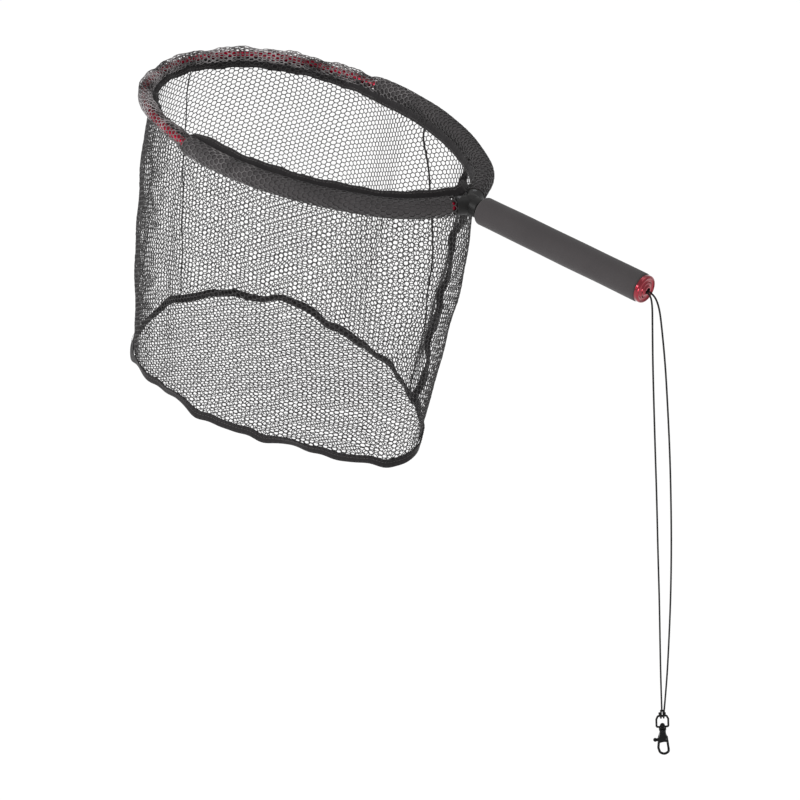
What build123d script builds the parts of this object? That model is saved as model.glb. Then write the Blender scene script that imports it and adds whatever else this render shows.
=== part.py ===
from build123d import *
import os
from math import cos, radians, sin, tan

# Landing net with a rigid hoop, a foam grip and a clip-on lanyard. Millimetres.
# Origin: centre of the grip. +X runs along the handle to the butt, +Z is up, and the
# bag and the lanyard hang down. "Far" is +Y and "near" is -Y.

os.makedirs("parts", exist_ok=True)

# ---------------------------------------------------------------- driving sizes
GRIP_LENGTH = 240.0
GRIP_RADIUS = 17.2
GRIP_EDGE = 3.0                    # rounding of the foam's two end edges
HANDLE_RADIUS = 9.0
HANDLE_WALL = 1.5
HANDLE_GAP = 3.0                   # bare handle tube between throat block and grip

HOOP_NOSE_X = -154.0               # where the hoop's outline crosses the axis at the handle
TUBE_RADIUS = 5.0
TUBE_WALL = 1.2
TIP_RADIUS, TIP_TURN = 140.0, 66.0           # the hoop's outline is three arcs a side
SIDE_RADIUS, SIDE_TURN = 368.0, 60.5
TAIL_HEADING = -62.0               # direction of the straight tube ends, from +X
TAIL_END_Y = 9.0

FOAM_RADIUS = 11.0
FAR_FOAM_HEADING = 3.7             # the hoop's direction where each foam sleeve begins
NEAR_FOAM_HEADING = 7.1
SLEEVE_RADIUS = 12.2               # mesh sleeve round tube and foam
SLEEVE_WALL = 0.8

HUB_RADIUS = 13.2
SOCKET_RADIUS = 11.6
SOCKET_LENGTH = 21.0
TUBE_SHOWS = 4.0                   # bare hoop tube between each socket and its foam
SPIGOT_LENGTH = 25.0
PIN_RADIUS = 1.5

BAG_DEPTH = 376.0
BAG_TOP_Z = -3.0
WALL = 2.0                         # thickness that stands for the mesh
WALL_INSET = 13.0                  # wall's outer face, in from the hoop's centre line
BASE_NOSE_X = -201.0
BASE_TIP_RADIUS, BASE_TIP_TURN = 145.0, 80.0
BASE_SIDE_RADIUS, BASE_SIDE_TURN = 369.0, 52.0
TAPE_WIDTH = 12.0
TAPE_THICKNESS = 2.0
END_SEAM_AT = (-240.0, 84.0)       # the tape that closes the bag's wall, on the far side of the nose
SIDE_SEAM_X = -337.0

CAP_THICKNESS = 5.4
CAP_RADIUS = 16.4
CAP_RIM = 2.6                      # rounding of the flange's edge
CAP_BOSS = 2.0                     # how far the boss round the cord hole stands above the rim
CAP_HOLE_RADIUS = 3.5
CORD_RADIUS = 1.1
KNOT_X = 109.0

CLIP_AT = (201.2, 68.4, -606.0)    # middle of the bow's top bar
CLIP_TURN = 43.0                   # the clip faces this far round from -Y
CLIP_LEAN = 9.3                    # the net is held tilted, so the lanyard hangs at this angle to -Z
BOW_RADIUS = 1.3
BOW_HALF_TOP, BOW_HALF_WIDTH = 5.4, 7.5
BOW_SHOULDER, BOW_BAR_Z = -5.2, -17.8
POST_RADIUS = 1.6
HOOK_RADIUS = 1.6
GATE_PIVOT = (4.2, -36.0)          # across and up, in the clip's own plane
GATE_THICKNESS = 2.8
SLOT_WIDTH = 3.4
SPRING_AT, SPRING_TOP = -1.5, -29.0

# The lanyard's two legs, from the stopper knot inside the butt to the hitch.
LEG_FAR = [(112, 1.3, 0), (131, 1.9, -0.3), (139, 8.8, -16), (145, 15.9, -54), (151.6, 22.1, -95),
           (158.2, 28.2, -142), (167, 36.5, -208), (175.4, 44.3, -278), (183.2, 51.7, -350), (190.2, 58.2, -424),
           (196.1, 63.9, -500), (200, 67.4, -555), (202.3, 69.3, -599)]
LEG_NEAR = [(112, -1.3, 0), (129.5, -1.2, -0.5), (134.1, 1.9, -12.5), (136.1, 6.6, -44), (141, 12.4, -95),
            (146.7, 17.3, -142), (154.6, 25.1, -210), (163.1, 32.7, -279), (171.3, 40.8, -352), (180.2, 48.7, -425),
            (188.5, 57.1, -502), (194.7, 62.6, -555), (200.1, 67.5, -599)]


# ---------------------------------------------------------------- helpers
def arc_step(radius, heading_from, heading_to):
    """How far a clockwise arc moves, as (x, y)."""
    a, b = radians(heading_from), radians(heading_to)
    return radius * (sin(a) - sin(b)), radius * (cos(b) - cos(a))


def outline_plan(tip_radius, tip_turn, side_radius, side_turn, nose_x):
    """Radii and headings of a half outline from tip to nose, and where it starts."""
    tip_end = 90.0 - tip_turn
    side_end = tip_end - side_turn
    tip = arc_step(tip_radius, 90, tip_end)
    side = arc_step(side_radius, tip_end, side_end)
    nose_radius = (tip[1] + side[1]) / cos(radians(side_end))
    nose = arc_step(nose_radius, side_end, -90)
    start_x = nose_x - tip[0] - side[0] - nose[0]
    return start_x, [(tip_radius, 90, tip_end), (side_radius, tip_end, side_end), (nose_radius, side_end, -90)]


HOOP = outline_plan(TIP_RADIUS, TIP_TURN, SIDE_RADIUS, SIDE_TURN, HOOP_NOSE_X)
BASE = outline_plan(BASE_TIP_RADIUS, BASE_TIP_TURN, BASE_SIDE_RADIUS, BASE_SIDE_TURN, BASE_NOSE_X)


def half_outline(plan, grow=0.0, z=0.0, heading_from=90.0, heading_to=-90.0):
    """The far half of an outline, or the part between two headings, as arcs, and where it ends."""
    x, y = plan[0] - grow, 0.0
    arcs = []
    for radius, start, end in plan[1]:
        stops = {start, end} | {turn for turn in (heading_from, heading_to) if end < turn < start}
        stops = sorted(stops, reverse=True)
        for a, b in zip(stops, stops[1:]):
            if b < heading_to:
                break
            if a <= heading_from:
                arcs.append(JernArc((x, y, z), (cos(radians(a)), sin(radians(a))), radius + grow, b - a))
            dx, dy = arc_step(radius + grow, a, b)
            x, y = x + dx, y + dy
    return arcs, (x, y)


def closed_outline(plan, grow, z):
    """A whole outline as one closed wire, far half first."""
    far, _ = half_outline(plan, grow, z)
    near = [edge.mirror(Plane.XZ) for edge in far]
    return Wire(far + near)


def arm_path(heading_from, tail_cut):
    """The far arm's centre line from a heading to a point short of the tube's end."""
    arcs, (x, y) = half_outline(HOOP, heading_from=heading_from, heading_to=TAIL_HEADING)
    direction = (cos(radians(TAIL_HEADING)), sin(radians(TAIL_HEADING)))
    reach = (TAIL_END_Y - y) / direction[1] - tail_cut
    end = (x + direction[0] * reach, y + direction[1] * reach)
    return Wire(arcs + [Line((x, y), end)]), end


def ring_along(path, outer, inner):
    """A round tube swept along a path."""
    at_start = Plane(path @ 0, z_dir=path % 0)
    return sweep(at_start * (Circle(outer) - Circle(inner)), path=path)


def mirrored(shape):
    return shape.mirror(Plane.XZ)


def along_x(radius, x0, x1):
    """A cylinder on the handle's axis between two stations."""
    return Pos((x0 + x1) / 2, 0, 0) * Rot(0, 90, 0) * Cylinder(radius, x1 - x0)


def bag_solid(grow):
    """The space inside the bag's outer face, grown outwards by grow."""
    top = closed_outline(HOOP, grow - WALL_INSET, BAG_TOP_Z)
    bottom = closed_outline(BASE, grow, -BAG_DEPTH)
    return Solid.make_loft([top, bottom], ruled=True)


def in_clip(shape):
    """Puts a shape drawn in the clip's own frame in its place on the lanyard."""
    return Pos(*CLIP_AT) * Rot(0, 0, CLIP_TURN) * Rot(0, -CLIP_LEAN, 0) * shape


def leg_tube(name, points):
    """One leg of the lanyard: straight runs joined by the largest tangent arcs they allow."""
    vectors = [Vector(*p) for p in points]
    radii = []
    for before, here, after in zip(vectors, vectors[1:], vectors[2:]):
        turn = (here - before).get_angle(after - here)
        run = min((here - before).length, (after - here).length)
        radii.append(0.45 * run / tan(radians(turn / 2)))
    path = FilletPolyline(*points, radius=radii)
    tube = sweep(Plane(path @ 0, z_dir=path % 0) * Circle(CORD_RADIUS), path=path)
    print(name, "length %.1f" % path.length, "volume / (section x length) %.4f"
          % (tube.volume / (3.14159265 * CORD_RADIUS ** 2 * path.length)),
          "radii", [round(r) for r in radii])
    return tube


# ---------------------------------------------------------------- hoop and throat
full_arm, _ = arm_path(90.0, 0.0)
tail_end = full_arm @ 1
HUB_X = tail_end.X - TAIL_END_Y / tan(radians(TAIL_HEADING))
BLOCK_BACK_X = -GRIP_LENGTH / 2 - HANDLE_GAP


def make_hoop_tube():
    arm = ring_along(full_arm, TUBE_RADIUS, TUBE_RADIUS - TUBE_WALL)
    return arm + mirrored(arm)


def make_throat_block():
    """Moulded Y: two sockets for the hoop's ends and a spigot for the handle tube."""
    toward_arm = Rot(0, 0, TAIL_HEADING + 180) * Rot(0, 90, 0)
    socket = Pos(HUB_X, 0, 0) * toward_arm * Pos(0, 0, SOCKET_LENGTH / 2) * Cylinder(SOCKET_RADIUS, SOCKET_LENGTH)
    mouth = socket.edges().filter_by(GeomType.CIRCLE).sort_by(Axis.Y)[-1]
    socket = fillet(mouth, 2.0)
    tail_room = SOCKET_LENGTH
    into_hub = TAIL_END_Y / sin(radians(-TAIL_HEADING))
    bore = (Pos(HUB_X, 0, 0) * toward_arm * Pos(0, 0, (into_hub + tail_room) / 2)
            * Cylinder(TUBE_RADIUS, tail_room - into_hub))
    back = along_x(SOCKET_RADIUS + 0.4, HUB_X, BLOCK_BACK_X)
    back = fillet(back.edges().filter_by(GeomType.CIRCLE).sort_by(Axis.X)[-1], 1.5)
    spigot = along_x(HANDLE_RADIUS - HANDLE_WALL, BLOCK_BACK_X - 1, BLOCK_BACK_X + SPIGOT_LENGTH)
    block = Pos(HUB_X, 0, 0) * Sphere(HUB_RADIUS) + back + spigot + socket + mirrored(socket)
    return block - bore - mirrored(bore)


def pin_places():
    """Centres and half lengths of the two cross pins, one in each socket."""
    back = SOCKET_LENGTH - 5.5
    x = HUB_X - back * cos(radians(TAIL_HEADING))
    y = -back * sin(radians(TAIL_HEADING))
    return [(x, y, SOCKET_RADIUS), (x, -y, SOCKET_RADIUS)]


def make_throat_pins():
    """Cross pins with low domed heads that hold the hoop's ends in the sockets."""
    pins = []
    for x, y, half in pin_places():
        shank = Pos(x, y, 0) * Cylinder(PIN_RADIUS, 2 * half)
        head = Pos(x, y, half - 0.4) * Cylinder(2.6, 1.6)
        head = fillet(head.edges().sort_by(Axis.Z)[-1], 0.8)
        pins.append(shank + head)
    return pins


throat_pins = make_throat_pins()
hoop_tube = make_hoop_tube()
throat_block = make_throat_block()
for pin in throat_pins:
    hoop_tube = hoop_tube - pin
    throat_block = throat_block - pin

# ---------------------------------------------------------------- handle
tube_front, tube_back = BLOCK_BACK_X, GRIP_LENGTH / 2
handle_tube = along_x(HANDLE_RADIUS, tube_front, tube_back) - along_x(HANDLE_RADIUS - HANDLE_WALL, tube_front - 1,
                                                                    tube_back + 1)
grip_foam = along_x(GRIP_RADIUS, -GRIP_LENGTH / 2, GRIP_LENGTH / 2)
grip_foam = fillet(grip_foam.edges().filter_by(GeomType.CIRCLE), GRIP_EDGE)
grip_foam = grip_foam - along_x(HANDLE_RADIUS, -GRIP_LENGTH, GRIP_LENGTH)


def make_butt_cap():
    """Turned cap: rounded flange, a groove, a conical boss round the cord hole, and a hollow spigot."""
    front = GRIP_LENGTH / 2
    face = front + CAP_THICKNESS
    flange = along_x(CAP_RADIUS, front, face)
    flange = fillet(flange.edges().filter_by(GeomType.CIRCLE).sort_by(Axis.X)[-1], CAP_RIM)
    flange = flange - Pos(face + 1.3, 0, 0) * Rot(0, 90, 0) * Torus(11.4, 3.3)
    boss_base, boss_top = face - 1.0, face + CAP_BOSS
    boss = Pos((boss_base + boss_top) / 2, 0, 0) * Rot(0, 90, 0) * Cone(8.2, 5.0, boss_top - boss_base)
    spigot = along_x(HANDLE_RADIUS - HANDLE_WALL, front - 22.0, front + 1.0)
    chamber = along_x(5.6, front - 23.0, front - 2.0)
    cord_hole = along_x(CAP_HOLE_RADIUS, front - 5.0, face + 5.0)
    return flange + boss + spigot - chamber - cord_hole


butt_cap = make_butt_cap()

# ---------------------------------------------------------------- foam sleeves, net and bindings
SLEEVE_CUT = SOCKET_LENGTH - TAIL_END_Y / sin(radians(-TAIL_HEADING)) + 0.5
far_foam_path, _ = arm_path(FAR_FOAM_HEADING, SLEEVE_CUT + TUBE_SHOWS)
near_foam_path, _ = arm_path(NEAR_FOAM_HEADING, SLEEVE_CUT + TUBE_SHOWS)
net_path, _ = arm_path(90.0, SLEEVE_CUT)
foam_sleeve_far = ring_along(far_foam_path, FOAM_RADIUS, TUBE_RADIUS)
foam_sleeve_near = mirrored(ring_along(near_foam_path, FOAM_RADIUS, TUBE_RADIUS))
rim_sleeve_far = ring_along(net_path, SLEEVE_RADIUS, SLEEVE_RADIUS - SLEEVE_WALL)
rim_sleeve_near = mirrored(rim_sleeve_far)


def make_rim_tape():
    """Binding along the inner side of the hoop, standing up and inwards at 40 degrees."""
    start = net_path @ 0
    section_plane = Plane(start, x_dir=(1, 0, 0), z_dir=(0, 1, 0))
    outward_to_middle = SLEEVE_RADIUS + 0.8 + TAPE_WIDTH / 2
    band = Rot(0, 0, -40) * Pos(outward_to_middle, 0) * Rectangle(TAPE_WIDTH, TAPE_THICKNESS)
    half = sweep(section_plane * band, path=net_path)
    return half + mirrored(half)


rim_tape = make_rim_tape()

bag_outer, bag_inner = bag_solid(0.0), bag_solid(-WALL)
wall = Part() + (bag_outer - bag_inner)
SPAN = 1400.0
far_side = Pos(0, SPAN / 2, 0) * Box(2 * SPAN, SPAN, 2 * SPAN)
net_wall_far = wall & far_side
net_wall_near = wall - far_side
net_base = extrude(make_face(closed_outline(BASE, 0.0, -BAG_DEPTH)), amount=-WALL)
skin = Part() + (bag_solid(TAPE_THICKNESS) - bag_outer)
low = skin & Pos(0, 0, -BAG_DEPTH + TAPE_WIDTH / 4) * Box(2 * SPAN, SPAN, TAPE_WIDTH / 2)
below = extrude(make_face(closed_outline(BASE, TAPE_THICKNESS, -BAG_DEPTH)), amount=-TAPE_WIDTH / 2)
below = below - extrude(make_face(closed_outline(BASE, 0.0, -BAG_DEPTH)), amount=-TAPE_WIDTH / 2)
base_tape = low + below
strip_z = (BAG_TOP_Z - BAG_DEPTH + TAPE_WIDTH / 2) / 2
strip_height = BAG_DEPTH + BAG_TOP_Z - TAPE_WIDTH / 2 - 8.0
end_seam_tape = skin & Pos(*END_SEAM_AT, strip_z) * Rot(0, 0, 45) * Box(60.0, TAPE_WIDTH, strip_height)
side_seam = skin & Pos(SIDE_SEAM_X, SPAN / 2, strip_z) * Box(4.0, SPAN, strip_height)

# ---------------------------------------------------------------- lanyard
lanyard_leg_far = leg_tube("lanyard_leg_far", LEG_FAR)
lanyard_leg_near = leg_tube("lanyard_leg_near", LEG_NEAR)
stopper_knot = Pos(KNOT_X, 0, 0) * (Sphere(4.2) + Rot(0, 90, 20) * Torus(3.2, 1.3))


def make_hitch():
    """Cow hitch: two turns round the bow's top bar under a bight that crosses in front."""
    clear = BOW_RADIUS + 0.4 + CORD_RADIUS
    turns = [Pos(side * 3.4, 0, 0) * Rot(0, 90, 0) * Torus(clear, CORD_RADIUS) for side in (-1, 1)]
    bight = Pos(0, -clear - 0.5, 1.7) * Rot(0, 90, 0) * Cylinder(CORD_RADIUS + 0.2, 9.2)
    bight = fillet(bight.edges().filter_by(GeomType.CIRCLE), 1.0)
    lump = Pos(0, -0.5, clear + 1.2) * Box(9.0, 4.6, 2.6)
    lump = fillet(lump.edges(), 0.9)
    return in_clip(lump + turns[0] + turns[1] + bight)


lanyard_hitch = make_hitch()


# ---------------------------------------------------------------- swivel clip
def make_bow():
    """Wire bow with a straight top bar and an eye in its lower bar for the swivel post."""
    corners = [(BOW_HALF_TOP, 0), (BOW_HALF_WIDTH, BOW_SHOULDER), (BOW_HALF_WIDTH, BOW_BAR_Z),
               (-BOW_HALF_WIDTH, BOW_BAR_Z), (-BOW_HALF_WIDTH, BOW_SHOULDER), (-BOW_HALF_TOP, 0)]
    face = make_face(Polyline(*corners, close=True))
    face = fillet(face.vertices(), 1.9)
    loop = Plane.XZ * face
    path = loop.faces()[0].outer_wire()
    wire = sweep(Plane(path @ 0, z_dir=path % 0) * Circle(BOW_RADIUS), path=path)
    eye = Pos(0, 0, BOW_BAR_Z) * Cylinder(3.4, 3.2)
    hole = Pos(0, 0, BOW_BAR_Z) * Cylinder(POST_RADIUS + 0.08, 8.0)
    return in_clip(wire + eye - hole)


def make_swivel_post():
    """Post with a domed head, headed over above the bow's eye."""
    eye_top = BOW_BAR_Z + 1.6
    shank = Pos(0, 0, BOW_BAR_Z) * Cylinder(POST_RADIUS, 7.0)
    head = Pos(0, 0, eye_top + 0.12 + 1.5) * Cylinder(3.0, 3.0)
    head = fillet(head.edges().sort_by(Axis.Z)[-1], 1.8)
    return in_clip(shank + head)


def make_snap_hook():
    """Cast body with a collar, slotted cheeks for the gate, and the hook's open loop."""
    collar_top = BOW_BAR_Z - 1.72
    collar = Pos(0, 0, collar_top - 2.1) * Cylinder(4.7, 4.2)
    collar = fillet(collar.edges().filter_by(GeomType.CIRCLE), 1.2)
    outline = [(3.9, collar_top - 2), (3.9, -28.0), (6.4, -37.5), (6.6, -41.6), (1.0, -40.9), (-5.0, -42.2), (-6.6, -41.6),
               (-6.4, -37.5), (-3.9, -28.0), (-3.9, collar_top - 2)]
    plate = extrude(Plane.XZ * make_face(Polyline(*outline, close=True)), amount=3.1, both=True)
    plate = fillet(plate.edges().filter_by(Axis.Y, reverse=True).group_by(Axis.Y)[-1], 0.7)
    plate = fillet(plate.edges().filter_by(Axis.Y, reverse=True).group_by(Axis.Y)[0], 0.7)
    route = FilletPolyline((-5.0, -40.5), (-6.0, -52.0), (-4.0, -60.2), (2.2, -63.2), (7.0, -59.0), (6.9, -53.2),
                           radius=[9.0, 6.0, 5.0, 4.0])
    route = Plane.XZ * route
    hook = sweep(Plane(route @ 0, z_dir=route % 0) * Circle(HOOK_RADIUS), path=route)
    slot = Pos(0.5, 0, -36.0) * Box(17.0, SLOT_WIDTH, 9.0)
    mouth = Pos(4.9, 0, -38.6) * Box(9.2, SLOT_WIDTH, 14.2)
    post_hole = Pos(0, 0, collar_top) * Cylinder(POST_RADIUS, 4.0)
    pin_hole = Pos(GATE_PIVOT[0], 0, GATE_PIVOT[1]) * Rot(90, 0, 0) * Cylinder(0.8, 10.0)
    spring_seat = Pos(SPRING_AT, 0, -30.5) * Cylinder(1.5, 3.0)
    return in_clip(collar + plate + hook - slot - mouth - post_hole - pin_hole - spring_seat)


def make_gate():
    """Rocking gate: thumb stud on a short arm, boss on the pin, nose that closes the hook."""
    arm = Pos(-2.9, 0, -38.6) * Box(13.4, GATE_THICKNESS, 2.8)
    boss = Pos(GATE_PIVOT[0], 0, GATE_PIVOT[1]) * Rot(90, 0, 0) * Cylinder(2.5, GATE_THICKNESS)
    nose_outline = [(2.6, -36.4), (6.2, -35.2), (7.2, -41.5), (8.0, -51.0), (7.3, -52.6), (5.6, -52.4), (5.1, -51.0),
                    (4.4, -43.0)]
    nose = extrude(Plane.XZ * make_face(Polyline(*nose_outline, close=True)), amount=GATE_THICKNESS / 2, both=True)
    stud = Pos(-9.7, 0, -38.6) * Sphere(2.6)
    hole = Pos(GATE_PIVOT[0], 0, GATE_PIVOT[1]) * Rot(90, 0, 0) * Cylinder(0.86, 10.0)
    return in_clip(arm + boss + nose + stud - hole)


def make_spring():
    """Return spring between the body and the gate's arm: a stack of close coils."""
    top, bottom, coils = SPRING_TOP, -37.1, 8
    pitch = (top - bottom) / coils
    profile = [(0.7, bottom)]
    for i in range(coils):
        profile += [(1.3, bottom + pitch * (i + 0.3)), (1.3, bottom + pitch * (i + 0.7)), (1.0, bottom + pitch * (i + 1))]
    profile += [(0.7, top)]
    ring = revolve(Plane.XZ * make_face(Polyline(*profile, close=True)), axis=Axis.Z)
    return in_clip(Pos(SPRING_AT, 0, 0) * ring)


swivel_bow = make_bow()
swivel_post = make_swivel_post()
snap_hook = make_snap_hook()
trigger_gate = make_gate()
trigger_pin = in_clip(Pos(GATE_PIVOT[0], 0, GATE_PIVOT[1]) * Rot(90, 0, 0) * Cylinder(0.8, 6.2))
trigger_spring = make_spring()

# ---------------------------------------------------------------- files
NODES = {
    "hoop_tube": hoop_tube, "throat_block": throat_block, "throat_pins": Compound(throat_pins),
    "handle_tube": handle_tube, "grip_foam": grip_foam, "butt_cap": butt_cap,
    "foam_sleeve_far": foam_sleeve_far, "foam_sleeve_near": foam_sleeve_near,
    "rim_sleeve_far": rim_sleeve_far, "rim_sleeve_near": rim_sleeve_near, "rim_tape": rim_tape,
    "net_wall_far": net_wall_far, "net_wall_near": net_wall_near, "net_base": net_base,
    "base_tape": base_tape, "end_seam_tape": end_seam_tape, "side_seam": side_seam,
    "lanyard_leg_far": lanyard_leg_far, "lanyard_leg_near": lanyard_leg_near,
    "stopper_knot": stopper_knot, "lanyard_hitch": lanyard_hitch,
    "swivel_bow": swivel_bow, "swivel_post": swivel_post, "snap_hook": snap_hook,
    "trigger_gate": trigger_gate, "trigger_pin": trigger_pin, "trigger_spring": trigger_spring,
}

print("hub x %.1f  tip x %.1f  block back %.1f" % (HUB_X, HOOP[0], BLOCK_BACK_X))
for name, shape in NODES.items():
    export_step(shape, "parts/" + name + ".step")
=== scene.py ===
import logging
from dataclasses import dataclass
from enum import Enum
from math import cos, pi, radians, sin, tau
from typing import ClassVar

import bpy
import numpy as np
from mathutils import Matrix


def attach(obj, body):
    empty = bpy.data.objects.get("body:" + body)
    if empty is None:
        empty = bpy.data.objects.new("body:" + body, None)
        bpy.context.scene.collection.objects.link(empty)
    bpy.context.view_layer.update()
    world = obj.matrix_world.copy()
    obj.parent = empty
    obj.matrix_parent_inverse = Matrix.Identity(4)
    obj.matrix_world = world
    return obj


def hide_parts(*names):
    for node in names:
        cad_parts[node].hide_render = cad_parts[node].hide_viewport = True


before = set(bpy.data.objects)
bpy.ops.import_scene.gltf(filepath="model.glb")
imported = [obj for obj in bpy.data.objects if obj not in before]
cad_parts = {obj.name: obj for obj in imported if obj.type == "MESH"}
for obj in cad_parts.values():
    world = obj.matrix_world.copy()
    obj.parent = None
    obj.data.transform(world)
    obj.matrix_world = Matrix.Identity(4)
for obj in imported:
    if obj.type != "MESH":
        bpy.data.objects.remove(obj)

logging.basicConfig(level=logging.INFO, format="%(message)s")
log = logging.getLogger("landing_net")
MM = 0.001                      # every size below is in millimetres, unless it says otherwise
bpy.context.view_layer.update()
WAVE = 50.0                     # a wave texture scaled by this over r runs through one radian in r millimetres
STITCH_SPACING, STITCH_LENGTH, THREAD_RADIUS = 4.2, 2.9, 0.32
UP = np.array([0.0, 0.0, 1.0])
Array = np.ndarray
Piece = bpy.types.Object
Paint = bpy.types.Material
Tree = bpy.types.NodeTree
Socket = bpy.types.NodeSocket


class Side(Enum):
    """The two halves of the net, either side of the handle's line."""

    FAR = 1.0
    NEAR = -1.0

    def label(self, stem: str) -> str:
        """A piece's name on this side, as the CAD node has it."""
        return f"{stem}_{self.name.lower()}"


# ------------------------------------------------------------------ small tools
def linear(code: str) -> tuple[float, float, float, float]:
    """Turns an sRGB hex colour to the linear values that shaders take.

    Args:
        code: six hex digits after a hash.
    Returns:
        Red, green, blue and an alpha of one.
    """
    parts = [int(code[i:i + 2], 16) / 255 for i in (1, 3, 5)]
    return (*[c / 12.92 if c <= 0.04045 else ((c + 0.055) / 1.055) ** 2.4 for c in parts], 1.0)


def add(tree: Tree, kind: str, inputs: dict | None = None, **settings: object) -> bpy.types.Node:
    """Adds one node with its settings and links.

    Args:
        tree: the tree that gets the node.
        kind: the node's type name.
        inputs: input socket, by name or index, to its constant or to the output socket that feeds it.
        settings: the node's own properties.
    Returns:
        The new node.
    """
    node = tree.nodes.new(kind)
    for name, value in settings.items():
        setattr(node, name, value)
    for key, value in (inputs or {}).items():
        if isinstance(value, Socket):
            tree.links.new(value, node.inputs[key])
        else:
            node.inputs[key].default_value = value
    return node


def ease(at: Array, low: float, high: float) -> Array:
    """Rises smoothly from 0 at low to 1 at high."""
    t = np.clip((np.asarray(at, float) - low) / (high - low), 0.0, 1.0)
    return t * t * (3 - 2 * t)


def bump_at(at: Array, middle: float, width: float) -> Array:
    """A smooth bell of height 1 round middle, about width wide each way."""
    return np.exp(-((np.asarray(at, float) - middle) / width) ** 2)


def ripple(at: Array, waves: list[tuple[float, float, float]]) -> Array:
    """Adds up sine waves.

    Args:
        at: where along the piece, in turns.
        waves: each wave's height, its count over one turn and its phase.
    Returns:
        The height at each place.
    """
    return sum(height * np.sin(tau * count * np.asarray(at, float) + phase) for height, count, phase in waves)


def unit(vectors: Array) -> Array:
    """The same directions, each one long."""
    return vectors / np.linalg.norm(vectors, axis=-1, keepdims=True)


def distances(line: Array) -> Array:
    """How far along a line each of its points is."""
    return np.concatenate([[0], np.cumsum(np.linalg.norm(np.diff(line, axis=0), axis=1))])


def new_object(name: str, data: bpy.types.ID) -> Piece:
    """A new linked object at the origin."""
    piece = bpy.data.objects.new(name, data)
    bpy.context.scene.collection.objects.link(piece)
    return piece


def seat(piece: Piece, node: str | None = None) -> None:
    """Fixes a piece to the net's own body and hides the CAD node that it stands for."""
    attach(piece, "root")
    if node:
        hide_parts(node)


def mesh_piece(name: str, points: Array, faces: list, finish: Paint | None = None,
               uv: Array | None = None, edges: list | None = None) -> Piece:
    """Makes an object at the origin from points in millimetres.

    Args:
        name: the object's name.
        points: one row of x, y, z for each vertex.
        faces: the vertices of each face.
        finish: its material.
        uv: one row of u, v for each vertex, in millimetres, where the pattern follows the piece.
        edges: loose edges, for a wire mesh.
    Returns:
        The linked object.
    """
    mesh = bpy.data.meshes.new(name)
    mesh.from_pydata((np.asarray(points) * MM).tolist(), edges or [], faces)
    if uv is not None:
        layer = mesh.uv_layers.new(name="UVMap")
        corner = np.zeros(len(mesh.loops), np.int32)
        mesh.loops.foreach_get("vertex_index", corner)
        layer.data.foreach_set("uv", uv[corner].astype(np.float32).ravel())
    if faces:
        mesh.shade_smooth()
    if finish:
        mesh.materials.append(finish)
    return new_object(name, mesh)


def skin_rings(name: str, rings: Array, finish: Paint, closed: bool, capped: bool,
               uv: Array | None = None) -> Piece:
    """Joins rings of points into a tube.

    Args:
        name: the object's name.
        rings: rings by points by x, y, z, in millimetres.
        finish: its material.
        closed: whether the last ring joins the first.
        capped: whether the two ends are closed.
        uv: rings by points by u, v.
    Returns:
        The linked object.
    """
    count, around = rings.shape[:2]
    faces = []
    for i in range(count if closed else count - 1):
        here, there = i * around, (i + 1) % count * around
        for j in range(around):
            k = (j + 1) % around
            faces.append((here + j, here + k, there + k, there + j))
    if capped and not closed:
        faces.append(tuple(reversed(range(around))))
        faces.append(tuple((count - 1) * around + j for j in range(around)))
    piece = mesh_piece(name, rings.reshape(-1, 3), faces, finish, None if uv is None else uv.reshape(-1, 2))
    outward(piece)
    return piece


def outward(piece: Piece) -> None:
    """Turns a closed piece's faces out, by the sign of the volume that they enclose."""
    mesh = piece.data
    mesh.calc_loop_triangles()
    points = np.array([v.co for v in mesh.vertices])
    corners = points[np.array([t.vertices for t in mesh.loop_triangles])]
    if (corners[:, 0] * np.cross(corners[:, 1], corners[:, 2])).sum() < 0:
        mesh.flip_normals()


def run_tree(name: str, source: Piece, tree: Tree, inputs: dict) -> Piece:
    """Runs a Geometry Nodes tree on an object and keeps the result as a plain mesh.

    Args:
        name: the result's name.
        source: the object that the tree starts from, which is used up.
        tree: the node group.
        inputs: the tree's named inputs.
    Returns:
        A new object at the origin, with no modifier.
    """
    sockets = {item.name: item.identifier for item in tree.interface.items_tree if item.in_out == "INPUT"}
    modifier = source.modifiers.new(tree.name, "NODES")
    modifier.node_group = tree
    for label, value in inputs.items():
        modifier[sockets[label]] = value
    evaluated = source.evaluated_get(bpy.context.evaluated_depsgraph_get())
    mesh = bpy.data.meshes.new_from_object(evaluated)
    mesh.name = name
    bpy.data.objects.remove(source)
    return new_object(name, mesh)


def surface_of(piece: Piece) -> float:
    """The area of all of a piece's faces, in square metres."""
    area = np.zeros(len(piece.data.polygons))
    piece.data.polygons.foreach_get("area", area)
    return float(area.sum())


def new_tree(name: str, inputs: list[tuple[str, str]]) -> tuple[Tree, bpy.types.Node]:
    """Starts a Geometry Nodes tree with one geometry in and one out.

    Args:
        name: the tree's name.
        inputs: each further input's name and socket type.
    Returns:
        The tree and its input node.
    """
    tree = bpy.data.node_groups.new(name, "GeometryNodeTree")
    tree.interface.new_socket("Source", in_out="INPUT", socket_type="NodeSocketGeometry")
    for label, kind in inputs:
        tree.interface.new_socket(label, in_out="INPUT", socket_type=kind)
    tree.interface.new_socket("Result", in_out="OUTPUT", socket_type="NodeSocketGeometry")
    return tree, add(tree, "NodeGroupInput")


def end_tree(tree: Tree, geometry: Socket, material: Socket) -> None:
    """Ends a tree: smooth faces, real meshes and their material."""
    smooth = add(tree, "GeometryNodeSetShadeSmooth", {"Geometry": geometry})
    real = add(tree, "GeometryNodeRealizeInstances", {"Geometry": smooth.outputs[0]})
    dressed = add(tree, "GeometryNodeSetMaterial", {"Geometry": real.outputs[0], "Material": material})
    add(tree, "NodeGroupOutput", {"Result": dressed.outputs[0]})


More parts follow.
